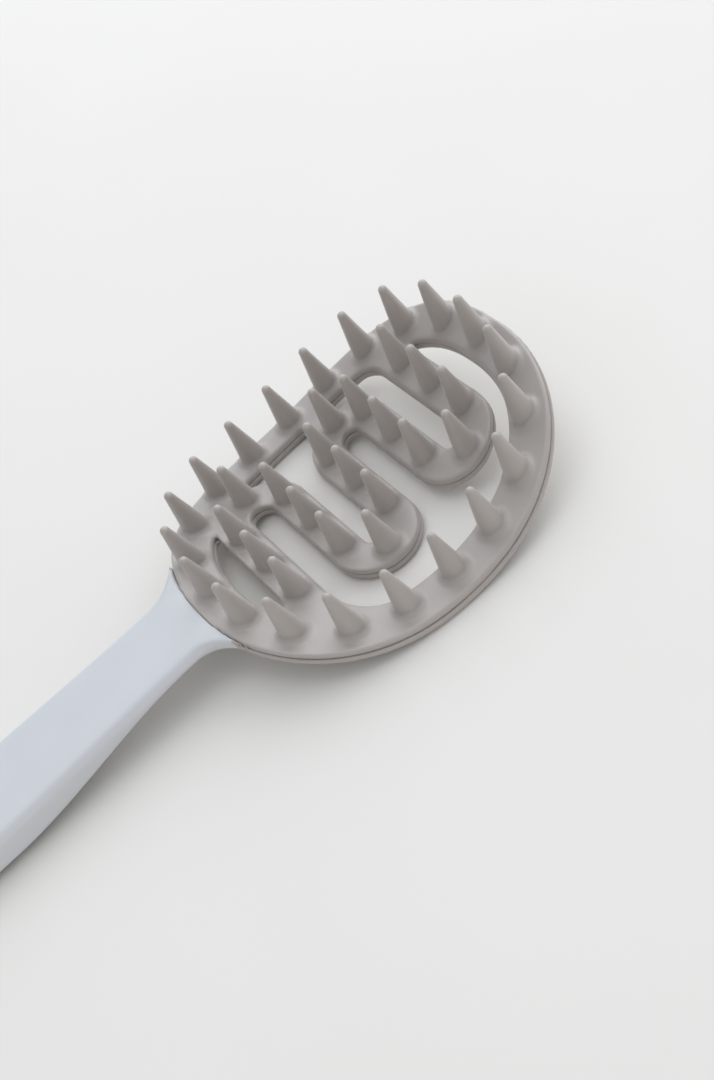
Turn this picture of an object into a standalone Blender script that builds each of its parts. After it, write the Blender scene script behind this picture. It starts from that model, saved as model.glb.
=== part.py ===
"""Scalp massager brush: a rigid comb frame, a soft tooth pad and a handle cover.

Comb frame: X runs from the handle (-) to the tip (+), Y across the head, and the teeth
point along +Z. Plan outlines are distance fields, negative inside, so that every join
gets its fillet by formula. They are cut into columns across X, made into slabs, and bent
to the scalp curve. An empty then tips the whole comb to the way it lies on a table.
"""

import math

import bmesh
import bpy
import numpy as np
from mathutils import Vector

# Head, measured along the line of teeth on the oval ring
TOOTH_RING_LENGTH = 0.0868
TOOTH_RING_WIDTH = 0.0742
OVAL_POWER = 2.41
RING_BAND_INSIDE = 0.0043
RING_BAND_OUTSIDE = 0.0052
BAND_SHIFT_X = -0.0003
BAND_SHIFT_Y = -0.0015
SCALP_RADIUS = 0.082
LOW_POINT_X = -0.0021

# Serpentine of five bars with U-turns between them
BAR_PITCH = 0.0144
BAR_WIDTH = 0.0086
BARS_SHIFT = 0.0005
FIRST_BAR_SHIFT = -0.0008
FAR_TURN_Y = 0.0165
LOBE_Y = (-0.0110, -0.0092)
BRIDGE_WIDTH = 0.0070
BRIDGE_SHIFT = -0.0020
WIDE_FILLET = 0.0090
MIDDLE_FILLET = 0.0040
LEFT_FILLET = 0.0055
TIGHT_FILLET = 0.0016

# Teeth
RING_TEETH = 20
TOOTH_PHASE = -0.1
TOOTH_HEIGHT = 0.0145
TOOTH_BASE_RADIUS = 0.0033
TOOTH_FOOT_HEIGHT = 0.0002
TIP_ROUND_START = 0.0011
TIP_ROUND_RADIUS = 0.0012
TIP_FLAT_RADIUS = 0.0005
BAR_TOOTH_PITCH = 0.0126
MIDDLE_ROW_Y = 0.0040
BAR_TEETH_SHIFT = (-0.0042, -0.0004, 0.0, 0.0016, 0.0008)
TOOTH_SIDES = 10

# Layers
PAD_THICKNESS = 0.0016
HEAD_THICKNESS = 0.0036
FRAME_LIP = 0.0005
GAP = 0.0003
KEY_RADIUS = 0.0016
KEY_LENGTH = 0.0008
SEAT_STEP = 0.0025

# Handle
OVERALL_LENGTH = 0.2150
NECK_WIDTH = 0.0222
GRIP_WIDTH = 0.0250
NECK_X = -0.0600
GRIP_X = -0.1150
NECK_FILLET = 0.0075
GRIP_THICKNESS = 0.0090
HANDLE_RISE = 0.030
NECK_BLEND = 0.0012
EDGE_ROUND = 0.0018

# Handle cover and its seat
COVER_START_X = -0.0720
COVER_THICKNESS = 0.0016
RIM_WALL = 0.0022
LEDGE_WIDTH = 0.0014
HANDLE_SKIN = 0.0020
POST_RADIUS = 0.0015
BOSS_WALL = 0.0018
POST_SPACING = 0.0280
POST_COUNT = 3
BORE_OVERRUN = 0.0040

# Column spacing of the plan
HEAD_CELL = 0.0018
HANDLE_CELL = 0.0054
SNAP_SHARE = 0.03
SMALLEST_FACE = 1e-10
LEVEL_DROP = 0.001
EDGE_SEGMENTS = 2
TOOL_OVERRUN = 0.0100

# A distance larger than any on the comb
FAR_AWAY = 1.0

# Sizes that follow from the ones above
RING_A = TOOTH_RING_LENGTH / 2
RING_B = TOOTH_RING_WIDTH / 2
BAR_X = [BARS_SHIFT + (i - 2) * BAR_PITCH for i in range(5)]
BAR_X[0] += FIRST_BAR_SHIFT
TURN_RADIUS = [(BAR_X[i + 1] - BAR_X[i]) / 2 for i in range(4)]
TURN_X = [(BAR_X[i + 1] + BAR_X[i]) / 2 for i in range(4)]
TURN_Y = (FAR_TURN_Y, LOBE_Y[0], FAR_TURN_Y, LOBE_Y[1])
TURN_SIDE = (1, -1, 1, -1)
HEAD_TIP_X = RING_A + RING_BAND_OUTSIDE + BAND_SHIFT_X + FRAME_LIP
HEAD_HALF_WIDTH = RING_B + RING_BAND_OUTSIDE - BAND_SHIFT_Y + FRAME_LIP
HANDLE_END_X = HEAD_TIP_X - OVERALL_LENGTH
SEAT_X = -(RING_A + RING_BAND_OUTSIDE) + BAND_SHIFT_X + SEAT_STEP


# ---------------------------------------------------------------- plan shapes

def oval(x, y, half_length, half_width):
    """Distance to a superellipse about the origin."""
    u, v = np.abs(x) / half_length, np.abs(y) / half_width
    g = np.maximum((u ** OVAL_POWER + v ** OVAL_POWER) ** (1 / OVAL_POWER), 1e-6)
    slope_x = (u / g) ** (OVAL_POWER - 1) / half_length
    slope_y = (v / g) ** (OVAL_POWER - 1) / half_width
    return (g - 1) / np.hypot(slope_x, slope_y)


def outer_oval(x, y):
    """The ring's outer edge, a little off the line of teeth."""
    return oval(x - BAND_SHIFT_X, y - BAND_SHIFT_Y, RING_A + RING_BAND_OUTSIDE,
                RING_B + RING_BAND_OUTSIDE)


def inner_oval(x, y):
    return oval(x, y, RING_A - RING_BAND_INSIDE, RING_B - RING_BAND_INSIDE)


def upright(x, y, at_x, low, high, width):
    """Distance to a straight band of this width along Y."""
    return np.hypot(x - at_x, y - np.clip(y, low, high)) - width / 2


def turn(x, y, i):
    """Distance to the half-circle turn between bars i and i + 1."""
    radius = np.hypot(x - TURN_X[i], y - TURN_Y[i])
    beyond = TURN_SIDE[i] * (y - TURN_Y[i]) >= 0
    return np.where(beyond, np.abs(radius - TURN_RADIUS[i]) - BAR_WIDTH / 2, FAR_AWAY)


def rounded_union(a, b, radius):
    """Union of two shapes with a fillet of this radius in the corner between them."""
    a, b, radius = np.broadcast_arrays(a, b, radius)
    return np.maximum(radius, np.minimum(a, b)) - np.hypot(
        np.maximum(radius - a, 0), np.maximum(radius - b, 0))


def pad_plan(x, y):
    """The oval ring with the serpentine joined to it."""
    ring = np.maximum(outer_oval(x, y), -inner_oval(x, y))
    lobe_low, lobe_high = LOBE_Y
    first = upright(x, y, BAR_X[0], -RING_B, FAR_TURN_Y, BAR_WIDTH)
    second = upright(x, y, BAR_X[1], lobe_low, FAR_TURN_Y, BAR_WIDTH)
    third = upright(x, y, BAR_X[2], lobe_low, FAR_TURN_Y, BAR_WIDTH)
    fourth = upright(x, y, BAR_X[3], lobe_high, FAR_TURN_Y, BAR_WIDTH)
    last = upright(x, y, BAR_X[4], lobe_high, RING_B, BAR_WIDTH)
    middle = [second, third, fourth]
    for i in range(4):
        middle.append(turn(x, y, i))
        if TURN_SIDE[i] > 0:
            crest = TURN_Y[i] + TURN_RADIUS[i]
            middle.append(upright(x, y, TURN_X[i] + BRIDGE_SHIFT, crest, RING_B, BRIDGE_WIDTH))
    joined = rounded_union(ring, np.minimum.reduce(middle), TIGHT_FILLET)
    near_fillet = np.where(x > BAR_X[0], WIDE_FILLET, LEFT_FILLET)
    near_fillet = np.where(y < 0, near_fillet, TIGHT_FILLET)
    far_fillet = np.where(x < BAR_X[4], MIDDLE_FILLET, TIGHT_FILLET)
    comb = np.minimum.reduce([joined, rounded_union(ring, first, near_fillet),
                              rounded_union(ring, last, far_fillet)])
    return np.maximum(comb, outer_oval(x, y))


def handle_plan(x, y):
    """The handle, from inside the ring band to its round end."""
    t = np.clip((NECK_X - x) / (NECK_X - GRIP_X), 0, 1)
    half_width = (NECK_WIDTH + (GRIP_WIDTH - NECK_WIDTH) * t * t * (3 - 2 * t)) / 2
    end_x = HANDLE_END_X + GRIP_WIDTH / 2
    sides = np.where(x < end_x, np.hypot(x - end_x, y) - GRIP_WIDTH / 2, np.abs(y) - half_width)
    return np.maximum(sides, x + RING_A)


def frame_plan(x, y):
    """The pad's plan grown by the lip, with the handle joined to the ring."""
    outside = rounded_union(outer_oval(x, y) - FRAME_LIP, handle_plan(x, y), NECK_FILLET)
    return np.where(outer_oval(x, y) > 0, outside, np.minimum(pad_plan(x, y) - FRAME_LIP,
                                                              handle_plan(x, y)))


def seat_plan(x, y):
    """Where the frame is cut down for the pad."""
    return np.minimum(outer_oval(x, y) - GAP, SEAT_X - x)


def post_positions():
    first_x = COVER_START_X - POST_SPACING / 2
    return [(first_x - i * POST_SPACING, 0.0) for i in range(POST_COUNT)]


def recess_plan(x, y):
    return np.maximum(handle_plan(x, y) + RIM_WALL, x - COVER_START_X)


def cover_plan(x, y):
    return recess_plan(x, y) + GAP


def hollow_plan(x, y):
    """The hollow above the cover, with a round boss left standing for each post."""
    room = recess_plan(x, y) + LEDGE_WIDTH
    for post_x, post_y in post_positions():
        boss = np.hypot(x - post_x, y - post_y) - (POST_RADIUS + GAP + BOSS_WALL)
        room = np.maximum(room, -boss)
    return room


# ---------------------------------------------------------------- heights

def columns():
    """X of the lines between which the comb's faces are flat."""
    handle = np.arange(HANDLE_END_X + GRIP_WIDTH, NECK_X, HANDLE_CELL)
    end = np.arange(HANDLE_END_X - HEAD_CELL, handle[0] - HEAD_CELL / 2, HEAD_CELL)
    head = np.arange(NECK_X, HEAD_TIP_X + 2 * HEAD_CELL, HEAD_CELL)
    return np.concatenate([end, handle, head])


def smooth_top(x):
    """Height of the top: the scalp arc over the head, a straight line along the handle."""
    arc = (x - LOW_POINT_X) ** 2 / (2 * SCALP_RADIUS)
    start_x = -(RING_A + RING_BAND_OUTSIDE / 2)
    start = (start_x - LOW_POINT_X) ** 2 / (2 * SCALP_RADIUS)
    line = start + HANDLE_RISE * (start_x - x)
    lower = -NECK_BLEND * np.log(np.exp(-arc / NECK_BLEND) + np.exp(-line / NECK_BLEND))
    return np.where(x < 0, lower, arc)


def top(x):
    lines = columns()
    return np.interp(x, lines, smooth_top(lines))


def depth(x):
    """Thickness of the frame and pad together at this X."""
    t = np.clip((NECK_X - np.asarray(x, float)) / (NECK_X - GRIP_X), 0, 1)
    return HEAD_THICKNESS + (GRIP_THICKNESS - HEAD_THICKNESS) * t * t * (3 - 2 * t)


def bottom(x):
    lines = columns()
    return np.interp(x, lines, smooth_top(lines) - depth(lines))


# ---------------------------------------------------------------- meshes

def plan_cells(bm, plan, x_lines, y_lines):
    """Fill the inside of a plan with faces that follow the grid and stop at its edge."""
    grid_x, grid_y = np.meshgrid(x_lines, y_lines, indexing="ij")
    value = plan(grid_x, grid_y)
    near_zero = np.abs(value) < SNAP_SHARE * HEAD_CELL
    value = np.where(near_zero, 0.0, value)
    points = {}

    def point(x, y):
        key = (round(x * 1e7), round(y * 1e7))
        if key not in points:
            points[key] = bm.verts.new((x, y, 0))
        return points[key]

    faces = []
    for i in range(len(x_lines) - 1):
        for j in range(len(y_lines) - 1):
            corners = ((i, j), (i + 1, j), (i + 1, j + 1), (i, j + 1))
            loop = []
            for k in range(4):
                here, there = corners[k], corners[(k + 1) % 4]
                a, b = value[here], value[there]
                if a <= 0:
                    loop.append(point(grid_x[here], grid_y[here]))
                if (a < 0 < b) or (b < 0 < a):
                    t = a / (a - b)
                    x = grid_x[here] + t * (grid_x[there] - grid_x[here])
                    y = grid_y[here] + t * (grid_y[there] - grid_y[here])
                    loop.append(point(x, y))
            loop = list(dict.fromkeys(loop))
            if len(loop) > 2 and face_area(loop) > SMALLEST_FACE:
                faces.append((i, bm.faces.new(loop)))
    return faces


def face_area(loop):
    total = 0.0
    for a, b in zip(loop, loop[1:] + loop[:1]):
        total += a.co.x * b.co.y - b.co.x * a.co.y
    return total / 2


def merge_columns(bm, faces):
    """Join the faces of each column, so that only the column lines stay as edges."""
    column = {face: i for i, face in faces}
    inner = [e for e in bm.edges if len(e.link_faces) == 2
             and column[e.link_faces[0]] == column[e.link_faces[1]]]
    bmesh.ops.dissolve_edges(bm, edges=inner, use_verts=False)
    straight = [v for v in bm.verts if len(v.link_edges) == 2 and len(v.link_faces) == 2]
    bmesh.ops.dissolve_verts(bm, verts=straight)


def slab(name, plan, low, high, half_width=HEAD_HALF_WIDTH, from_x=HANDLE_END_X, to_x=HEAD_TIP_X,
         round_edges=False):
    """A plan made solid between two heights, each a function of X, and bent with them."""
    x_lines = columns()
    x_lines = x_lines[(x_lines > from_x - 2 * HEAD_CELL) & (x_lines < to_x + 2 * HEAD_CELL)]
    rows = math.ceil(half_width / HEAD_CELL) + 1
    y_lines = np.arange(-rows, rows + 1) * HEAD_CELL
    bm = bmesh.new()
    merge_columns(bm, plan_cells(bm, plan, x_lines, y_lines))
    bmesh.ops.delete(bm, geom=[v for v in bm.verts if not v.link_faces], context="VERTS")
    raised = bmesh.ops.extrude_face_region(bm, geom=bm.faces[:])
    upper = {v for v in raised["geom"] if isinstance(v, bmesh.types.BMVert)}
    for v in bm.verts:
        v.co.z = float((high if v in upper else low)(v.co.x))
    bmesh.ops.recalc_face_normals(bm, faces=bm.faces[:])
    if round_edges:
        rims = [e for e in bm.edges if e.calc_face_angle(0) > math.radians(60)
                and abs(e.verts[0].co.z - e.verts[1].co.z) < LEVEL_DROP
                and max(v.co.x for v in e.verts) < NECK_X]
        bmesh.ops.bevel(bm, geom=rims, offset=EDGE_ROUND, segments=EDGE_SEGMENTS,
                        profile=0.5, affect="EDGES", clamp_overlap=True)
    return mesh_object(name, bm)


def mesh_object(name, bm):
    mesh = bpy.data.meshes.new(name)
    bm.to_mesh(mesh)
    bm.free()
    made = bpy.data.objects.new(name, mesh)
    bpy.context.collection.objects.link(made)
    return made


def turned(bm, profile, x, y, surface, sides=TOOTH_SIDES):
    """A solid turned about Z from (radius, height, follows) steps, bottom to top.

    Heights are above the surface: at the axis, or at each point where the step follows it.
    """
    rings = []
    for radius, height, follows in profile:
        ring = []
        for k in range(sides):
            angle = 2 * math.pi * (k + 0.5) / sides
            at_x = x + radius * math.cos(angle)
            base = float(surface(at_x if follows else x))
            ring.append(bm.verts.new((at_x, y + radius * math.sin(angle), base + height)))
        rings.append(ring)
    bm.faces.new(rings[0][::-1])
    for lower, upper in zip(rings, rings[1:]):
        for k in range(sides):
            n = (k + 1) % sides
            bm.faces.new((lower[k], lower[n], upper[n], upper[k]))
    bm.faces.new(rings[-1])


def combine(target, tool, operation):
    """Boolean a helper into its target; the helper itself isn't part of the comb."""
    tool.hide_render = True
    tool.display_type = "WIRE"
    modifier = target.modifiers.new(tool.name, "BOOLEAN")
    modifier.operation = operation
    modifier.object = tool


def material(made, colour, roughness):
    shade = bpy.data.materials.new(made.name)
    shade.use_nodes = True
    surface = shade.node_tree.nodes["Principled BSDF"]
    surface.inputs["Base Color"].default_value = (*colour, 1)
    surface.inputs["Roughness"].default_value = roughness
    made.data.materials.append(shade)


# ---------------------------------------------------------------- teeth

def ring_teeth():
    """Teeth evenly spaced along the oval, the first one beside the handle."""
    angle = np.linspace(math.pi, 3 * math.pi, 1441)
    c, s = np.cos(angle), np.sin(angle)
    x = RING_A * np.sign(c) * np.abs(c) ** (2 / OVAL_POWER)
    y = RING_B * np.sign(s) * np.abs(s) ** (2 / OVAL_POWER)
    run = np.concatenate([[0], np.cumsum(np.hypot(np.diff(x), np.diff(y)))])
    at = (np.arange(RING_TEETH) + TOOTH_PHASE) % RING_TEETH / RING_TEETH * run[-1]
    return list(zip(np.interp(at, run, x), np.interp(at, run, y)))


def serpentine_teeth():
    """Three teeth on each bar and one on each turn."""
    spots = []
    for i, x in enumerate(BAR_X):
        middle_y = MIDDLE_ROW_Y + BAR_TEETH_SHIFT[i]
        spots += [(x, middle_y + k * BAR_TOOTH_PITCH) for k in (1, 0, -1)]
    for i in range(4):
        spots.append((TURN_X[i], TURN_Y[i] + TURN_SIDE[i] * TURN_RADIUS[i]))
    return spots


def teeth_and_keys():
    """A cone above the pad and a round key under it, as one turned solid each."""
    bm = bmesh.new()
    profile = [(KEY_RADIUS, -PAD_THICKNESS - KEY_LENGTH, True),
               (KEY_RADIUS, -PAD_THICKNESS / 2, True),
               (TOOTH_BASE_RADIUS, -PAD_THICKNESS / 3, True),
               (TOOTH_BASE_RADIUS, TOOTH_FOOT_HEIGHT, True),
               (TIP_ROUND_RADIUS, TOOTH_HEIGHT - TIP_ROUND_START, False),
               (TIP_FLAT_RADIUS, TOOTH_HEIGHT, False)]
    for x, y in ring_teeth() + serpentine_teeth():
        turned(bm, profile, x, y, top)
    return mesh_object("teeth", bm)


def key_sockets():
    bm = bmesh.new()
    floor = -PAD_THICKNESS - KEY_LENGTH - 2 * GAP
    for x, y in ring_teeth() + serpentine_teeth():
        turned(bm, [(KEY_RADIUS + GAP, floor, True), (KEY_RADIUS + GAP, 0.0, True)], x, y, top)
    return mesh_object("key_sockets", bm)


# ---------------------------------------------------------------- pieces

def make_tooth_pad():
    pad = slab("tooth_pad", pad_plan, lambda x: top(x) - PAD_THICKNESS, top,
               from_x=-HEAD_TIP_X)
    combine(pad, teeth_and_keys(), "UNION")
    material(pad, (0.36, 0.33, 0.31), 0.6)
    return pad


def make_frame():
    frame = slab("comb_frame", frame_plan, bottom, top, round_edges=True)
    seat_low = PAD_THICKNESS + GAP
    seat = slab("pad_seat", seat_plan, lambda x: top(x) - seat_low, lambda x: top(x) + TOOL_OVERRUN,
                half_width=HEAD_HALF_WIDTH + HEAD_CELL, from_x=-HEAD_TIP_X)
    combine(frame, seat, "DIFFERENCE")
    combine(frame, key_sockets(), "DIFFERENCE")
    ledge = COVER_THICKNESS + GAP
    recess = slab("cover_recess", recess_plan, lambda x: bottom(x) - TOOL_OVERRUN,
                  lambda x: bottom(x) + ledge, half_width=GRIP_WIDTH / 2, to_x=COVER_START_X)
    combine(frame, recess, "DIFFERENCE")
    hollow = slab("handle_hollow", hollow_plan, lambda x: bottom(x) - TOOL_OVERRUN / 2,
                  lambda x: top(x) - HANDLE_SKIN, half_width=GRIP_WIDTH / 2, to_x=COVER_START_X)
    combine(frame, hollow, "DIFFERENCE")
    bm = bmesh.new()
    for x, y in post_positions():
        turned(bm, [(POST_RADIUS + GAP, -BORE_OVERRUN, False),
                    (POST_RADIUS + GAP, post_top(x) + GAP, False)], x, y, bottom)
    combine(frame, mesh_object("post_bores", bm), "DIFFERENCE")
    material(frame, (0.60, 0.63, 0.68), 0.35)
    return frame


def post_top(x):
    """Height of a post's end above the bottom of the handle."""
    return float(depth(x)) - HANDLE_SKIN - 2 * GAP


def make_cover():
    cover = slab("handle_cover", cover_plan, bottom, lambda x: bottom(x) + COVER_THICKNESS,
                 half_width=GRIP_WIDTH / 2, to_x=COVER_START_X)
    bm = bmesh.new()
    for x, y in post_positions():
        turned(bm, [(POST_RADIUS, COVER_THICKNESS / 2, False),
                    (POST_RADIUS, post_top(x), False)], x, y, bottom)
    combine(cover, mesh_object("cover_posts", bm), "UNION")
    material(cover, (0.60, 0.63, 0.68), 0.35)
    return cover


# ---------------------------------------------------------------- resting pose

def resting_tilt():
    """Tilt about Y at which the head's back and the handle's end touch one plane."""
    x = columns()
    low = bottom(x)
    head, handle = x > NECK_X, (x > HANDLE_END_X) & (x < NECK_X)

    def gap(tilt):
        height = x * math.sin(tilt) + low * math.cos(tilt)
        return height[handle].min() - height[head].min()

    small, large = 0.0, 0.3
    for _ in range(60):
        middle = (small + large) / 2
        small, large = (middle, large) if gap(middle) > 0 else (small, middle)
    return (small + large) / 2


def world_points(made):
    evaluated = made.evaluated_get(bpy.context.evaluated_depsgraph_get())
    return [made.matrix_world @ v.co for v in evaluated.data.vertices]


def main():
    for old in list(bpy.data.objects):
        bpy.data.objects.remove(old)
    pieces = [make_frame(), make_tooth_pad(), make_cover()]
    stand = bpy.data.objects.new("stand", None)
    bpy.context.collection.objects.link(stand)
    stand.rotation_euler = (0, -resting_tilt(), 0)
    for made in list(bpy.data.objects):
        if made is not stand:
            made.parent = stand
    bpy.context.view_layer.update()
    points = [p for made in pieces for p in world_points(made)]
    low = Vector(min(p[i] for p in points) for i in range(3))
    high = Vector(max(p[i] for p in points) for i in range(3))
    stand.location = Vector((-(low.x + high.x) / 2, -(low.y + high.y) / 2, -low.z))


main()
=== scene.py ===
"""Scalp massager brush: a soft tooth pad on a stiff comb frame with a long flat handle.

Sizes are in metres. Pieces are shaped lying flat, with z = 0 on the pad's upper face: X runs
from the handle (-) to the tip (+). A node tree then bends each one to the scalp's curve and
tips it to the way the brush lies on a table.
"""

import math

import bpy
import numpy as np
from mathutils import Matrix, Vector


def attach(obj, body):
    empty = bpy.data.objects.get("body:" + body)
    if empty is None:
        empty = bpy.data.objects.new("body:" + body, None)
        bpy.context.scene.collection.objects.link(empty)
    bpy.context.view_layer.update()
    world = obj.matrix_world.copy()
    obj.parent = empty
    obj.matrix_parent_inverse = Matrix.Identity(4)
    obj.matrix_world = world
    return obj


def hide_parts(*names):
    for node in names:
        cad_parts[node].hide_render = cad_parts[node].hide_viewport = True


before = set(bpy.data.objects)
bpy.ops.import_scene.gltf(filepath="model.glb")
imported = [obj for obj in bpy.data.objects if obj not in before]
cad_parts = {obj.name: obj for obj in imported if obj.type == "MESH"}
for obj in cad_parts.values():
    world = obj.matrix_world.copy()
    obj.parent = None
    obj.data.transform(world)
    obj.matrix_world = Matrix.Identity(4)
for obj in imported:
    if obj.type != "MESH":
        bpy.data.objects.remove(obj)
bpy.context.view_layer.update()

# Head, on the line of teeth around the oval ring
TOOTH_RING_LENGTH = 0.0868
TOOTH_RING_WIDTH = 0.0742
OVAL_POWER = 2.41
RING_BAND_INSIDE = 0.0043
RING_BAND_OUTSIDE = 0.0052
BAND_SHIFT_X = -0.0003
BAND_SHIFT_Y = -0.0015
RING_A = TOOTH_RING_LENGTH / 2
RING_B = TOOTH_RING_WIDTH / 2

# Serpentine
BAR_PITCH = 0.0144
BAR_WIDTH = 0.0086
BARS_SHIFT = 0.0005
FIRST_BAR_SHIFT = -0.0008
FAR_TURN_Y = 0.0165
LOBE_Y = (-0.0110, -0.0092)
BAR_X = [BARS_SHIFT + (i - 2) * BAR_PITCH for i in range(5)]
BAR_X[0] += FIRST_BAR_SHIFT
TURN_RADIUS = [(BAR_X[i + 1] - BAR_X[i]) / 2 for i in range(4)]
TURN_X = [(BAR_X[i + 1] + BAR_X[i]) / 2 for i in range(4)]
TURN_Y = (FAR_TURN_Y, LOBE_Y[0], FAR_TURN_Y, LOBE_Y[1])
TURN_SIDE = (1, -1, 1, -1)
BRIDGE_WIDTH = 0.0070
BRIDGE_SHIFT = -0.0020
WIDE_FILLET = 0.0090
MIDDLE_FILLET = 0.0040
LEFT_FILLET = 0.0055
TIGHT_FILLET = 0.0016

# Teeth
RING_TEETH = 20
TOOTH_PHASE = -0.1
BAR_TOOTH_PITCH = 0.0126
MIDDLE_ROW_Y = 0.0040
BAR_TEETH_SHIFT = (-0.0042, -0.0004, 0.0, 0.0016, 0.0008)
TOOTH = {
    "Tooth height": 0.0145,
    "Base radius": 0.0034,
    "Tip radius": 0.00118,
    "Foot fillet": 0.0001,
}
FOOT_FILLET = 0.0016
FOOT_TAPER = 0.21
FOOT_TOP = 0.0023

# Layers
PAD_THICKNESS = 0.0016
PAD_RIM_ROUND = 0.0008
HEAD_THICKNESS = 0.0036
FRAME_LIP = 0.0005
SLOT_LIP = 0.0002
LIP_CHANGE_START = 0.003
LIP_CHANGE_LENGTH = 0.002
GAP = 0.0003
SEAT_STEP = 0.0025
SEAT_SIDE_GAP = 0.00018
SEAT_FLOOR_GAP = 0.00022

# Where the pad meets the handle flush
FLUSH_LENGTH = 0.004
FLUSH_GROWTH = 0.00015
FLUSH_RIM_ROUND = 0.0002

# Edge rounds
PAD_UNDERSIDE_DROP = 0.0001
PAD_UNDERSIDE_ROUND = 0.00015
HEAD_EDGE_ROUND = {"upper": 0.0006, "lower": 0.0009}
GRIP_EDGE_ROUND = {"upper": 0.0027, "lower": 0.0019}
ROUND_START_X = -0.046
ROUND_CHANGE_LENGTH = 0.012
COVER_EDGE_ROUND = {"lower": 0.0004, "upper": 0.0002}
FOOT_START_Z = -0.0003

# Reach of the rubber on the frame
COAT_INSIDE = -0.0001
COAT_OVER_LIP = 0.0004
COAT_FLUSH_LIMIT = 0.05

# Handle
OVERALL_LENGTH = 0.2150
NECK_WIDTH = 0.0222
GRIP_WIDTH = 0.0250
NECK_X = -0.0600
GRIP_X = -0.1150
NECK_FILLET = 0.0075
GRIP_THICKNESS = 0.0090
COVER_START_X = -0.0720
COVER_THICKNESS = 0.0016
RIM_WALL = 0.0022
HANDLE_END_X = RING_A + RING_BAND_OUTSIDE + BAND_SHIFT_X + FRAME_LIP - OVERALL_LENGTH
SEAT_X = -(RING_A + RING_BAND_OUTSIDE) + BAND_SHIFT_X + SEAT_STEP

# Curve of the head and the way the brush lies
BEND = {
    "Scalp radius": 0.082,
    "Low point X": -0.0021,
    "Handle start X": -(RING_A + RING_BAND_OUTSIDE / 2),
    "Handle rise": 0.030,
    "Neck blend": 0.0012,
    "Tilt": math.radians(3.546403),
    "Stand X": 0.0594206,
    "Stand Y": 0.0015,
    "Stand Z": 0.0039155,
}


# ------------------------------------------------------------------ plan shapes

def oval(x, y, half_length, half_width):
    """Distance to a superellipse about the head's centre, negative inside."""
    u, v = np.abs(x) / half_length, np.abs(y) / half_width
    g = np.maximum((u ** OVAL_POWER + v ** OVAL_POWER) ** (1 / OVAL_POWER), 1e-6)
    slope_x = (u / g) ** (OVAL_POWER - 1) / half_length
    slope_y = (v / g) ** (OVAL_POWER - 1) / half_width
    return (g - 1) / np.hypot(slope_x, slope_y)


def outer_oval(x, y):
    """The ring's outer edge, a little off the line of teeth."""
    return oval(x - BAND_SHIFT_X, y - BAND_SHIFT_Y, RING_A + RING_BAND_OUTSIDE,
                RING_B + RING_BAND_OUTSIDE)


def inner_oval(x, y):
    return oval(x, y, RING_A - RING_BAND_INSIDE, RING_B - RING_BAND_INSIDE)


def upright(x, y, at_x, low, high, width):
    """A straight band along Y."""
    return np.hypot(x - at_x, y - np.clip(y, low, high)) - width / 2


def turn(x, y, i):
    """The half-circle turn between bars i and i + 1."""
    radius = np.hypot(x - TURN_X[i], y - TURN_Y[i])
    beyond = TURN_SIDE[i] * (y - TURN_Y[i]) >= 0
    return np.where(beyond, np.abs(radius - TURN_RADIUS[i]) - BAR_WIDTH / 2, 1.0)


def rounded_union(a, b, radius):
    """Union of two shapes with a fillet in the corner between them."""
    a, b, radius = np.broadcast_arrays(a, b, radius)
    return np.maximum(radius, np.minimum(a, b)) - np.hypot(
        np.maximum(radius - a, 0), np.maximum(radius - b, 0))


def pad_plan(x, y):
    """The oval ring with the serpentine joined to it."""
    ring = np.maximum(outer_oval(x, y), -inner_oval(x, y))
    lobe_low, lobe_high = LOBE_Y
    first = upright(x, y, BAR_X[0], -RING_B, FAR_TURN_Y, BAR_WIDTH)
    second = upright(x, y, BAR_X[1], lobe_low, FAR_TURN_Y, BAR_WIDTH)
    third = upright(x, y, BAR_X[2], lobe_low, FAR_TURN_Y, BAR_WIDTH)
    fourth = upright(x, y, BAR_X[3], lobe_high, FAR_TURN_Y, BAR_WIDTH)
    last = upright(x, y, BAR_X[4], lobe_high, RING_B, BAR_WIDTH)
    middle = [second, third, fourth]
    for i in range(4):
        middle.append(turn(x, y, i))
        if TURN_SIDE[i] > 0:
            crest = TURN_Y[i] + TURN_RADIUS[i]
            middle.append(upright(x, y, TURN_X[i] + BRIDGE_SHIFT, crest, RING_B, BRIDGE_WIDTH))
    joined = rounded_union(ring, np.minimum.reduce(middle), TIGHT_FILLET)
    near_fillet = np.where(x > BAR_X[0], WIDE_FILLET, LEFT_FILLET)
    near_fillet = np.where(y < 0, near_fillet, TIGHT_FILLET)
    far_fillet = np.where(x < BAR_X[4], MIDDLE_FILLET, TIGHT_FILLET)
    comb = np.minimum.reduce([joined, rounded_union(ring, first, near_fillet),
                              rounded_union(ring, last, far_fillet)])
    return np.maximum(comb, outer_oval(x, y))


def handle_plan(x, y):
    """The handle, from inside the ring band to its round end."""
    half_width = (NECK_WIDTH + (GRIP_WIDTH - NECK_WIDTH) * along_neck(x)) / 2
    end_x = HANDLE_END_X + GRIP_WIDTH / 2
    sides = np.where(x < end_x, np.hypot(x - end_x, y) - GRIP_WIDTH / 2, np.abs(y) - half_width)
    return np.maximum(sides, x + RING_A)


def frame_plan(x, y):
    """The pad's plan grown by a lip, wider round the rim, with the handle joined to the ring."""
    off_ring = outer_oval(x, y)
    outside = rounded_union(off_ring - FRAME_LIP, handle_plan(x, y), NECK_FILLET)
    lip = SLOT_LIP + (FRAME_LIP - SLOT_LIP) * smooth(
        (off_ring + LIP_CHANGE_START) / LIP_CHANGE_LENGTH)
    return np.where(off_ring > 0, outside, np.minimum(pad_plan(x, y) - lip, handle_plan(x, y)))


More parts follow.
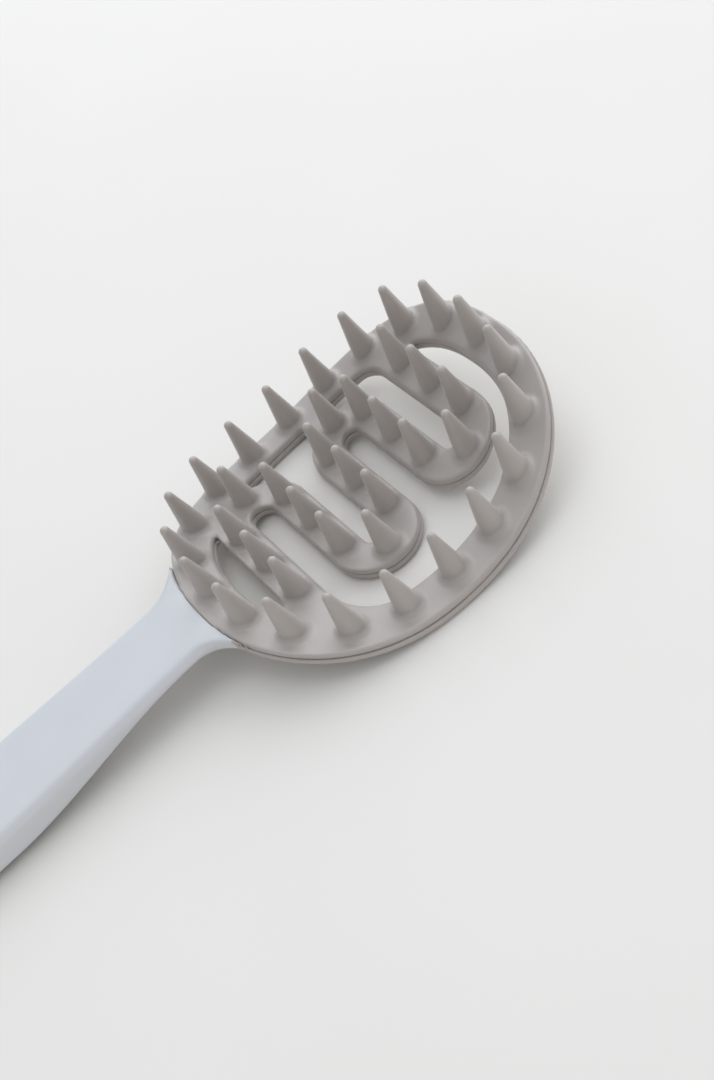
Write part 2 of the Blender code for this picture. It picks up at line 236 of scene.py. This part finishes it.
def ring_teeth():
    """Teeth evenly spaced along the oval, the first one beside the handle."""
    angle = np.linspace(math.pi, 3 * math.pi, 1441)
    c, s = np.cos(angle), np.sin(angle)
    x = RING_A * np.sign(c) * np.abs(c) ** (2 / OVAL_POWER)
    y = RING_B * np.sign(s) * np.abs(s) ** (2 / OVAL_POWER)
    run = np.concatenate([[0], np.cumsum(np.hypot(np.diff(x), np.diff(y)))])
    at = (np.arange(RING_TEETH) + TOOTH_PHASE) % RING_TEETH / RING_TEETH * run[-1]
    return list(zip(np.interp(at, run, x), np.interp(at, run, y)))


def serpentine_teeth():
    """Three teeth on each bar and one on each turn."""
    spots = []
    for i, x in enumerate(BAR_X):
        middle_y = MIDDLE_ROW_Y + BAR_TEETH_SHIFT[i]
        spots += [(x, middle_y + k * BAR_TOOTH_PITCH) for k in (1, 0, -1)]
    for i in range(4):
        spots.append((TURN_X[i], TURN_Y[i] + TURN_SIDE[i] * TURN_RADIUS[i]))
    return spots


def recess_plan(x, y):
    """The seat of the handle's cover."""
    return np.maximum(handle_plan(x, y) + RIM_WALL, x - COVER_START_X)


TOOTH_SPOTS = ring_teeth() + serpentine_teeth()


# ------------------------------------------------------------------ solids

def smooth(t):
    t = np.clip(t, 0, 1)
    return t * t * (3 - 2 * t)


def along_neck(x):
    """0 at the neck's thin end, 1 where the full grip begins."""
    return smooth((NECK_X - x) / (NECK_X - GRIP_X))


def depth(x):
    return HEAD_THICKNESS + (GRIP_THICKNESS - HEAD_THICKNESS) * along_neck(x)


def rounded_slab(plan, z, low, high, low_round, high_round):
    """A plan made solid between two heights, with its upper and lower rims rounded."""
    rim = np.where(z > (low + high) / 2, high_round, low_round)
    across = plan + rim
    up = np.maximum(z - high, low - z) + rim
    return np.minimum(np.maximum(across, up), 0) - rim + np.hypot(
        np.maximum(across, 0), np.maximum(up, 0))


def beside_handle(x, y):
    """1 where the pad meets the handle flush, 0 round the rest of its rim."""
    return smooth((outer_oval(x, y) - FRAME_LIP - frame_plan(x, y)) / FLUSH_LENGTH)


def pad_solid(x, y, z):
    """The pad with its tooth feet, a hair wider beside the handle, where the two meet flush."""
    flush = beside_handle(x, y)
    plan = pad_plan(x, y) - FLUSH_GROWTH * flush
    rim = PAD_RIM_ROUND + (FLUSH_RIM_ROUND - PAD_RIM_ROUND) * flush
    low = -PAD_THICKNESS - PAD_UNDERSIDE_DROP
    plate = rounded_slab(plan, z, low, 0.0, PAD_UNDERSIDE_ROUND, rim)
    off_tooth = np.minimum.reduce([np.hypot(x - a, y - b) for a, b in TOOTH_SPOTS])
    foot = off_tooth - TOOTH["Base radius"] + FOOT_TAPER * np.maximum(z, 0)
    foot = np.maximum(foot, -PAD_THICKNESS - z)
    footed = np.maximum(rounded_union(plate, foot, FOOT_FILLET), z - FOOT_TOP)
    return np.where(z < FOOT_START_Z, plate, np.maximum(footed, plan))


def frame_solid(x, y, z):
    """The frame, cut down where the pad lies on it and hollowed for the handle's cover."""
    along_handle = smooth((ROUND_START_X - x) / ROUND_CHANGE_LENGTH)
    upper, lower = (HEAD_EDGE_ROUND[k] + (GRIP_EDGE_ROUND[k] - HEAD_EDGE_ROUND[k]) * along_handle
                    for k in ("upper", "lower"))
    body = rounded_slab(frame_plan(x, y), z, -depth(x), 0.0, lower, upper)
    seat_edge = np.minimum(outer_oval(x, y) - SEAT_SIDE_GAP, SEAT_X - x)
    seat_floor = -PAD_THICKNESS - SEAT_FLOOR_GAP - z
    seat = np.maximum(seat_edge, seat_floor)
    recess = np.maximum(recess_plan(x, y), z + depth(x) - COVER_THICKNESS - GAP)
    return np.maximum(np.maximum(body, -seat), -recess)


def cover_solid(x, y, z):
    plan = recess_plan(x, y) + GAP
    low = -depth(x)
    return rounded_slab(plan, z, low, low + COVER_THICKNESS,
                        COVER_EDGE_ROUND["lower"], COVER_EDGE_ROUND["upper"])


# ------------------------------------------------------------------ meshes

def slopes(solid, points, step=2e-5):
    """Gradient of a solid's distance at each point."""
    gradient = np.empty_like(points)
    for axis in range(3):
        shift = np.zeros(3)
        shift[axis] = step
        gradient[:, axis] = (solid(*(points + shift).T) - solid(*(points - shift).T)) / (2 * step)
    return gradient


def settle(solid, points, reach, rounds):
    """Move points onto the solid's surface, no further than reach in one move."""
    for _ in range(rounds):
        gradient = slopes(solid, points)
        length = np.maximum((gradient ** 2).sum(1), 0.2)
        move = -(solid(*points.T) / length)[:, None] * gradient
        size = np.linalg.norm(move, axis=1, keepdims=True)
        points = points + move * np.minimum(1, reach / np.maximum(size, 1e-12))
    return points


def skin(name, solid, low, high, cell):
    """A closed mesh of a solid, with one point in every cell that its surface crosses."""
    axes = [np.arange(a, b + c, c) for a, b, c in zip(low, high, cell)]
    grid = np.meshgrid(*axes, indexing="ij")
    value = solid(*grid)
    inside = value < 0
    n = [len(a) for a in axes]
    total = np.zeros([k - 1 for k in n] + [3])
    count = np.zeros([k - 1 for k in n])
    crossings = []
    for axis in range(3):
        first = [slice(None)] * 3
        second = [slice(None)] * 3
        first[axis], second[axis] = slice(0, -1), slice(1, None)
        a, b = value[tuple(first)], value[tuple(second)]
        crossed = inside[tuple(first)] != inside[tuple(second)]
        t = np.where(crossed, a / np.where(crossed, a - b, 1.0), 0.0)
        place = np.stack([g[tuple(first)] for g in grid], axis=-1)
        place[..., axis] += t * cell[axis]
        place *= crossed[..., None]
        others = [k for k in range(3) if k != axis]
        for i in (0, 1):
            for j in (0, 1):
                part = [slice(None)] * 3
                part[others[0]] = slice(i, n[others[0]] - 1 + i)
                part[others[1]] = slice(j, n[others[1]] - 1 + j)
                total += place[tuple(part)]
                count += crossed[tuple(part)]
        crossings.append((axis, others, crossed, inside[tuple(first)]))
    used = count > 0
    index = np.full(used.shape, -1)
    index[used] = np.arange(used.sum())
    points = total[used] / count[used][:, None]
    quads = []
    for axis, (p, q), crossed, starts_inside in crossings:
        at = np.argwhere(crossed)
        keep = (at[:, p] > 0) & (at[:, q] > 0) & (at[:, p] < n[p] - 1) & (at[:, q] < n[q] - 1)
        at = at[keep]
        corners = []
        for i, j in ((1, 1), (0, 1), (0, 0), (1, 0)):
            cell_at = at.copy()
            cell_at[:, p] -= i
            cell_at[:, q] -= j
            corners.append(index[tuple(cell_at.T)])
        quad = np.stack(corners, axis=1)
        flip = starts_inside[tuple(at.T)] == (axis == 1)
        quad[~flip] = quad[~flip][:, ::-1]
        quads.append(quad)
    quads = np.concatenate(quads)
    points = settle(solid, points, min(cell) / 2, 3)
    edges = np.unique(np.sort(np.concatenate([quads[:, [k, (k + 1) % 4]] for k in range(4)]),
                              axis=1), axis=0)
    for _ in range(2):
        around = np.zeros_like(points)
        number = np.zeros(len(points))
        for a, b in (edges.T, edges.T[::-1]):
            for k in range(3):
                around[:, k] += np.bincount(a, points[b, k], len(points))
            number += np.bincount(a, minlength=len(points))
        points = 0.5 * points + 0.5 * around / number[:, None]
        points = settle(solid, points, min(cell) / 2, 3)
    mesh = bpy.data.meshes.new(name)
    mesh.from_pydata(points.tolist(), [], quads.tolist())
    mesh.update()
    made = bpy.data.objects.new(name, mesh)
    bpy.context.scene.collection.objects.link(made)
    return made


# ------------------------------------------------------------------ node trees

class Tree:
    """Short words for building a node tree."""

    def __init__(self, tree):
        self.tree = tree

    def add(self, kind, settings=None, **inputs):
        node = self.tree.nodes.new(kind)
        for key, value in (settings or {}).items():
            setattr(node, key, value)
        for key, value in inputs.items():
            socket = node.inputs[int(key[1:])] if key[1:].isdigit() else node.inputs[
                key.replace("_", " ")]
            self.feed(socket, value)
        return node

    def feed(self, socket, value):
        if isinstance(value, bpy.types.NodeSocket):
            self.tree.links.new(value, socket)
        else:
            socket.default_value = value

    def math(self, operation, a, b=None, c=None):
        node = self.tree.nodes.new("ShaderNodeMath")
        node.operation = operation
        for socket, value in zip(node.inputs, (a, b, c)):
            if value is not None:
                self.feed(socket, value)
        return node.outputs[0]


def shape_tree(name, inputs):
    """A Geometry Nodes tree with a geometry, number inputs and a material."""
    tree = bpy.data.node_groups.new(name, "GeometryNodeTree")
    tree.interface.new_socket("Geometry", in_out="INPUT", socket_type="NodeSocketGeometry")
    for key, value in inputs.items():
        kind = "NodeSocketInt" if isinstance(value, int) else "NodeSocketFloat"
        socket = tree.interface.new_socket(key, in_out="INPUT", socket_type=kind)
        socket.default_value = value
    tree.interface.new_socket("Material", in_out="INPUT", socket_type="NodeSocketMaterial")
    tree.interface.new_socket("Geometry", in_out="OUTPUT", socket_type="NodeSocketGeometry")
    build = Tree(tree)
    start = build.add("NodeGroupInput")
    return build, start


def scalp_height(build, start, x):
    """Height of the brush's upper face at x: the scalp's arc, then the handle's straight line."""
    away = build.math("SUBTRACT", x, start.outputs["Low point X"])
    twice = build.math("MULTIPLY", start.outputs["Scalp radius"], 2.0)
    arc = build.math("DIVIDE", build.math("MULTIPLY", away, away), twice)
    off = build.math("SUBTRACT", start.outputs["Handle start X"], start.outputs["Low point X"])
    first = build.math("DIVIDE", build.math("MULTIPLY", off, off), twice)
    back = build.math("SUBTRACT", start.outputs["Handle start X"], x)
    line = build.math("MULTIPLY_ADD", back, start.outputs["Handle rise"], first)
    blend = start.outputs["Neck blend"]
    parts = []
    for curve in (arc, line):
        parts.append(build.math("EXPONENT", build.math(
            "MULTIPLY", build.math("DIVIDE", curve, blend), -1.0)))
    logged = build.math("LOGARITHM", build.math("ADD", *parts), math.e)
    lower = build.math("MULTIPLY", build.math("MULTIPLY", logged, blend), -1.0)
    behind = build.math("LESS_THAN", x, 0.0)
    change = build.math("SUBTRACT", lower, arc)
    return build.math("MULTIPLY_ADD", behind, change, arc)


def lay_down(build, start, geometry):
    """Tip the brush to the way it lies, and end the tree."""
    turned = build.math("MULTIPLY", start.outputs["Tilt"], -1.0)
    rotation = build.add("ShaderNodeCombineXYZ", Y=turned)
    move = build.add("ShaderNodeCombineXYZ", X=start.outputs["Stand X"],
                     Y=start.outputs["Stand Y"], Z=start.outputs["Stand Z"])
    placed = build.add("GeometryNodeTransform", Geometry=geometry,
                       Translation=move.outputs[0], Rotation=rotation.outputs[0])
    real = build.add("GeometryNodeRealizeInstances", Geometry=placed.outputs[0])
    soft = build.add("GeometryNodeSetShadeSmooth", Geometry=real.outputs[0])
    finish = build.add("GeometryNodeSetMaterial", Geometry=soft.outputs[0],
                       Material=start.outputs["Material"])
    build.add("NodeGroupOutput", Geometry=finish.outputs[0])
    return build.tree


def bend_tree():
    """Bends a flat piece to the scalp's curve and lays it down."""
    build, start = shape_tree("bend_to_scalp", BEND)
    position = build.add("GeometryNodeInputPosition").outputs[0]
    place = build.add("ShaderNodeSeparateXYZ", Vector=position)
    height = scalp_height(build, start, place.outputs["X"])
    lift = build.add("ShaderNodeCombineXYZ", Z=height)
    bent = build.add("GeometryNodeSetPosition", Geometry=start.outputs["Geometry"],
                     Offset=lift.outputs[0])
    return lay_down(build, start, bent.outputs[0])


def tooth_tree():
    """Stands a round-tipped cone on each point, its filleted foot following the pad."""
    sizes = dict(TOOTH)
    sizes.update({"Rings": 28, "Sides": 20, "Sink": 0.00006, "Foot reach": 0.0050})
    sizes.update(BEND)
    build, start = shape_tree("comb_teeth", sizes)
    tall, base, tip, fillet = (start.outputs[key] for key in TOOTH)

    up = build.add("ShaderNodeCombineXYZ", Z=tall)
    line = build.add("GeometryNodeCurvePrimitiveLine", End=up.outputs[0])
    stem = build.add("GeometryNodeResampleCurve", Curve=line.outputs[0],
                     Count=start.outputs["Rings"])
    along = build.add("GeometryNodeSplineParameter").outputs["Factor"]
    turned = build.math("COSINE", build.math("MULTIPLY", along, math.pi))
    share = build.math("MULTIPLY_ADD", turned, -0.5, 0.5)
    height = build.math("MULTIPLY", share, tall)

    centre = build.math("SUBTRACT", tall, tip)
    taper = build.math("DIVIDE", build.math("SUBTRACT", base, tip), centre)
    side = build.math("SUBTRACT", base, build.math("MULTIPLY", height, taper))
    over = build.math("SUBTRACT", height, centre)
    square = build.math("SUBTRACT", build.math("MULTIPLY", tip, tip),
                        build.math("MULTIPLY", over, over))
    ball = build.math("SQRT", build.math("MAXIMUM", square, 0.0))
    touch = build.math("MULTIPLY_ADD", build.math("MULTIPLY", tip, taper), 1.0, centre)
    in_ball = build.math("GREATER_THAN", height, touch)
    body = build.math("MULTIPLY_ADD", in_ball, build.math("SUBTRACT", ball, side), side)
    low = build.math("DIVIDE", build.math("MAXIMUM", build.math(
        "SUBTRACT", fillet, height), 0.0), fillet)
    curve = build.math("SUBTRACT", 1.0, build.math("SQRT", build.math(
        "SUBTRACT", 1.0, build.math("MULTIPLY", low, low))))
    radius = build.math("MULTIPLY_ADD", curve, fillet, body)

    held = build.add("GeometryNodeCaptureAttribute", {"domain": "POINT"},
                     Geometry=stem.outputs[0])
    held.capture_items.new("FLOAT", "Radius")
    held.capture_items.new("FLOAT", "Height")
    build.feed(held.inputs["Radius"], radius)
    build.feed(held.inputs["Height"], height)
    lowered = build.math("SUBTRACT", held.outputs["Height"], start.outputs["Sink"])
    spaced = build.add("ShaderNodeCombineXYZ", Z=lowered)
    stem = build.add("GeometryNodeSetPosition", Geometry=held.outputs["Geometry"],
                     Position=spaced.outputs[0])
    stem = build.add("GeometryNodeSetCurveRadius", Curve=stem.outputs[0],
                     Radius=held.outputs["Radius"])
    circle = build.add("GeometryNodeCurvePrimitiveCircle", {"mode": "RADIUS"},
                       Resolution=start.outputs["Sides"], Radius=1.0)
    cone = build.add("GeometryNodeCurveToMesh", Curve=stem.outputs[0],
                     i1=circle.outputs["Curve"])
    for socket in cone.inputs:
        if socket.name == "Fill Caps":
            socket.default_value = True
        if socket.name == "Scale":
            build.feed(socket, held.outputs["Radius"])
    closed = build.add("GeometryNodeMergeByDistance", Geometry=cone.outputs[0], Distance=5e-6)

    place = build.add("GeometryNodeInputPosition").outputs[0]
    rooted = build.add("GeometryNodeCaptureAttribute", {"domain": "POINT"},
                       Geometry=start.outputs["Geometry"])
    rooted.capture_items.new("VECTOR", "Root")
    build.feed(rooted.inputs["Root"], place)
    stood = build.add("GeometryNodeInstanceOnPoints", Points=rooted.outputs["Geometry"],
                      Instance=closed.outputs[0])
    real = build.add("GeometryNodeRealizeInstances", Geometry=stood.outputs[0])
    here = build.add("ShaderNodeSeparateXYZ", Vector=place)
    root = build.add("ShaderNodeSeparateXYZ", Vector=rooted.outputs["Root"])
    upright_part = build.add("ShaderNodeMapRange", {"interpolation_type": "SMOOTHSTEP"},
                             Value=here.outputs["Z"], i1=0.0, i2=start.outputs["Foot reach"],
                             i3=0.0, i4=1.0)
    at_here = scalp_height(build, start, here.outputs["X"])
    at_root = scalp_height(build, start, root.outputs["X"])
    change = build.math("SUBTRACT", at_root, at_here)
    lift = build.math("MULTIPLY_ADD", upright_part.outputs[0], change, at_here)
    raised = build.add("ShaderNodeCombineXYZ", Z=lift)
    bent = build.add("GeometryNodeSetPosition", Geometry=real.outputs[0],
                     Offset=raised.outputs[0])
    return lay_down(build, start, bent.outputs[0])


def shaped(made, tree, values, finish):
    """The plain mesh object that a tree makes of one object."""
    modifier = made.modifiers.new(tree.name, "NODES")
    modifier.node_group = tree
    for item in tree.interface.items_tree:
        if item.in_out == "INPUT" and item.name in values:
            modifier[item.identifier] = values[item.name]
        if item.in_out == "INPUT" and item.name == "Material":
            modifier[item.identifier] = finish
    ready = made.evaluated_get(bpy.context.evaluated_depsgraph_get())
    mesh = bpy.data.meshes.new_from_object(ready)
    name = made.name
    bpy.data.objects.remove(made)
    result = bpy.data.objects.new(name, mesh)
    mesh.name = name
    bpy.context.scene.collection.objects.link(result)
    return result


# ------------------------------------------------------------------ finishes

def finish_tree(name, colour, roughness, **sockets):
    shade = bpy.data.materials.new(name)
    shade.use_nodes = True
    shade.node_tree.nodes.clear()
    build = Tree(shade.node_tree)
    surface = build.add("ShaderNodeBsdfPrincipled")
    out = build.add("ShaderNodeOutputMaterial")
    build.tree.links.new(surface.outputs[0], out.inputs["Surface"])
    surface.inputs["Base Color"].default_value = (*colour, 1)
    surface.inputs["Roughness"].default_value = roughness
    for key, value in sockets.items():
        surface.inputs[key.replace("_", " ")].default_value = value
    place = build.add("ShaderNodeTexCoord").outputs["Object"]
    return shade, build, surface, place


def colour_ramp(build, value, stops):
    ramp = build.add("ShaderNodeValToRGB", Fac=value)
    while len(ramp.color_ramp.elements) < len(stops):
        ramp.color_ramp.elements.new(0.5)
    for element, (position, colour) in zip(ramp.color_ramp.elements, stops):
        element.position = position
        element.color = (*colour, 1)
    return ramp.outputs["Color"]


def satin_plastic():
    """Pale lavender-grey moulded plastic with a fine spark-eroded grain."""
    shade, build, surface, place = finish_tree(
        "satin_plastic", (0.61, 0.62, 0.64), 0.38, Coat_Weight=0.12, Coat_Roughness=0.32)
    cloud = build.add("ShaderNodeTexNoise", Vector=place, Scale=38.0, Detail=3.0, Roughness=0.55)
    tint = colour_ramp(build, cloud.outputs[0], [
        (0.25, (0.594, 0.600, 0.618)), (0.55, (0.612, 0.620, 0.640)),
        (0.80, (0.626, 0.634, 0.652))])
    build.feed(surface.inputs["Base Color"], tint)
    grain = build.add("ShaderNodeTexNoise", Vector=place, Scale=2600.0, Detail=2.0, Roughness=0.6)
    flow = build.add("ShaderNodeTexNoise", Vector=place, Scale=160.0, Detail=2.0)
    rough = build.add("ShaderNodeMapRange", Value=flow.outputs[0], i1=0.3, i2=0.7, i3=0.34, i4=0.44)
    build.feed(surface.inputs["Roughness"], rough.outputs[0])
    bump = build.add("ShaderNodeBump", Strength=0.22, Distance=0.00004, Height=grain.outputs[0])
    build.feed(surface.inputs["Normal"], bump.outputs[0])
    return shade


def soft_rubber():
    """Warm grey silicone: matte, with a powdery sheen and a fine skin."""
    shade, build, surface, place = finish_tree(
        "soft_rubber", (0.39, 0.35, 0.32), 0.45, Specular_IOR_Level=0.8, Sheen_Weight=0.30,
        Sheen_Roughness=0.45, Sheen_Tint=(1.0, 0.98, 0.96, 1.0), Subsurface_Weight=0.12,
        Subsurface_Scale=0.003, Subsurface_Radius=(1.0, 0.75, 0.6))
    cloud = build.add("ShaderNodeTexNoise", Vector=place, Scale=60.0, Detail=4.0, Roughness=0.6)
    tint = colour_ramp(build, cloud.outputs[0], [
        (0.25, (0.390, 0.350, 0.322)), (0.55, (0.414, 0.372, 0.343)),
        (0.80, (0.434, 0.392, 0.362))])
    build.feed(surface.inputs["Base Color"], tint)
    skin_grain = build.add("ShaderNodeTexNoise", Vector=place, Scale=1500.0, Detail=3.0,
                           Roughness=0.65)
    patches = build.add("ShaderNodeTexNoise", Vector=place, Scale=220.0, Detail=2.0)
    rough = build.add("ShaderNodeMapRange", Value=patches.outputs[0], i1=0.3, i2=0.7, i3=0.40,
                      i4=0.50)
    build.feed(surface.inputs["Roughness"], rough.outputs[0])
    bump = build.add("ShaderNodeBump", Strength=0.30, Distance=0.00008,
                     Height=skin_grain.outputs[0])
    build.feed(surface.inputs["Normal"], bump.outputs[0])
    return shade


def table_finish():
    shade, build, surface, place = finish_tree("table_paint", (0.80, 0.77, 0.725), 0.85)
    mottle = build.add("ShaderNodeTexNoise", Vector=place, Scale=9.0, Detail=3.0)
    tint = colour_ramp(build, mottle.outputs[0], [
        (0.3, (0.792, 0.762, 0.716)), (0.7, (0.808, 0.778, 0.733))])
    build.feed(surface.inputs["Base Color"], tint)
    return shade


# ------------------------------------------------------------------ pieces

def tooth_roots():
    mesh = bpy.data.meshes.new("pad_teeth")
    mesh.from_pydata([(x, y, 0.0) for x, y in TOOTH_SPOTS], [], [])
    made = bpy.data.objects.new("pad_teeth", mesh)
    bpy.context.scene.collection.objects.link(made)
    return made


def joined(name, parts):
    """Several plain mesh objects as one."""
    bpy.ops.object.select_all(action="DESELECT")
    for made in parts:
        made.select_set(True)
    bpy.context.view_layer.objects.active = parts[0]
    bpy.ops.object.join()
    parts[0].name = name
    parts[0].data.name = name
    return parts[0]


def coat_head(comb, rubber):
    """The soft rubber also covers the ring and bars of the frame, as far as the handle."""
    comb.data.materials.append(rubber)
    middles = np.empty(len(comb.data.polygons) * 3)
    comb.data.polygons.foreach_get("center", middles)
    middles = middles.reshape(-1, 3)
    tilt = BEND["Tilt"]
    off_x, off_z = middles[:, 0] - BEND["Stand X"], middles[:, 2] - BEND["Stand Z"]
    x = off_x * math.cos(tilt) + off_z * math.sin(tilt)
    y = middles[:, 1] - BEND["Stand Y"]
    off_ring = outer_oval(x, y)
    on_lip = (off_ring < FRAME_LIP + COAT_OVER_LIP) & (beside_handle(x, y) < COAT_FLUSH_LIMIT)
    coated = (off_ring < COAT_INSIDE) | on_lip
    comb.data.polygons.foreach_set("material_index", coated.astype(int))


plastic = satin_plastic()
rubber = soft_rubber()
bend = bend_tree()

head_x = RING_A + RING_BAND_OUTSIDE + 0.002
head_y = RING_B + RING_BAND_OUTSIDE + 0.002
pad_plate = skin("pad_plate", pad_solid, (-head_x, -head_y, -0.0028), (head_x, head_y, 0.0030),
                 (0.00047, 0.00047, 0.00037))
comb = skin("stiff_comb_frame", frame_solid, (HANDLE_END_X - 0.002, -head_y, -0.0106),
            (head_x, head_y, 0.0010), (0.00055, 0.00055, 0.00045))
cover = skin("handle_back_cover", cover_solid, (HANDLE_END_X - 0.002, -0.014, -0.0106),
             (COVER_START_X + 0.002, 0.014, -0.003), (0.0006, 0.0006, 0.0003))

comb = shaped(comb, bend, BEND, plastic)
coat_head(comb, rubber)
cover = shaped(cover, bend, BEND, plastic)
pad_plate = shaped(pad_plate, bend, BEND, rubber)
teeth = shaped(tooth_roots(), tooth_tree(), {**TOOTH, **BEND}, rubber)
pad = joined("soft_tooth_pad", [pad_plate, teeth])

for made, node, slot in ((comb, "comb_frame", "frame"), (cover, "handle_cover", "cover"),
                         (pad, "tooth_pad", "pad")):
    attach(made, "root")
    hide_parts(node)
    print(made.name, len(made.data.polygons), "faces")


# ------------------------------------------------------------------ stage, light, camera

def table_top(reach=4):
    mesh = bpy.data.meshes.new("table_top")
    corners = [(-reach, -reach, 0), (reach, -reach, 0), (reach, reach, 0), (-reach, reach, 0)]
    mesh.from_pydata(corners, [], [(0, 1, 2, 3)])
    made = bpy.data.objects.new("table_top", mesh)
    bpy.context.scene.collection.objects.link(made)
    mesh.materials.append(table_finish())


def soft_light(name, place, aim, size, power, colour):
    lamp = bpy.data.lights.new(name, "AREA")
    lamp.shape = "RECTANGLE"
    lamp.size, lamp.size_y = size
    lamp.energy = power
    lamp.color = colour
    made = bpy.data.objects.new(name, lamp)
    bpy.context.scene.collection.objects.link(made)
    made.location = place
    made.rotation_euler = (Vector(aim) - Vector(place)).to_track_quat("-Z", "Y").to_euler()


def studio():
    world = bpy.data.worlds.new("soft_room")
    bpy.context.scene.world = world
    world.use_nodes = True
    sky = world.node_tree.nodes["Background"]
    sky.inputs["Color"].default_value = (0.89, 0.94, 1.0, 1)
    sky.inputs["Strength"].default_value = 0.62
    aim = (0.05, 0, 0.015)
    soft_light("window", (0.9, 1.1, 0.95), aim, (2.0, 1.3), 14.0, (0.90, 0.95, 1.0))
    soft_light("side_window", (1.35, 0.15, 0.75), aim, (1.5, 1.0), 6.0, (0.93, 0.96, 1.0))
    soft_light("overhead", (0.3, 0.3, 1.4), aim, (1.2, 1.2), 4.5, (0.96, 0.98, 1.0))
    soft_light("warm_fill", (-0.4, -1.3, 0.25), aim, (1.4, 0.4), 2.0, (1.0, 0.89, 0.78))
    scene = bpy.context.scene
    scene.view_settings.view_transform = "Standard"


def camera():
    lens = bpy.data.cameras.new("camera")
    lens.sensor_width = 36.0
    lens.lens = 52.89
    lens.clip_start = 0.01
    made = bpy.data.objects.new("camera", lens)
    bpy.context.scene.collection.objects.link(made)
    right = Vector((0.74144, -0.54971, -0.38481)).normalized()
    forward = Vector((0.14070, 0.68809, -0.71185))
    forward = (forward - forward.dot(right) * right).normalized()
    up = right.cross(forward)
    turn_to = Matrix((right, up, -forward)).transposed().to_4x4()
    made.matrix_world = Matrix.Translation((-0.00365, -0.26437, 0.26866)) @ turn_to
    bpy.context.scene.camera = made


table_top()
studio()
camera()
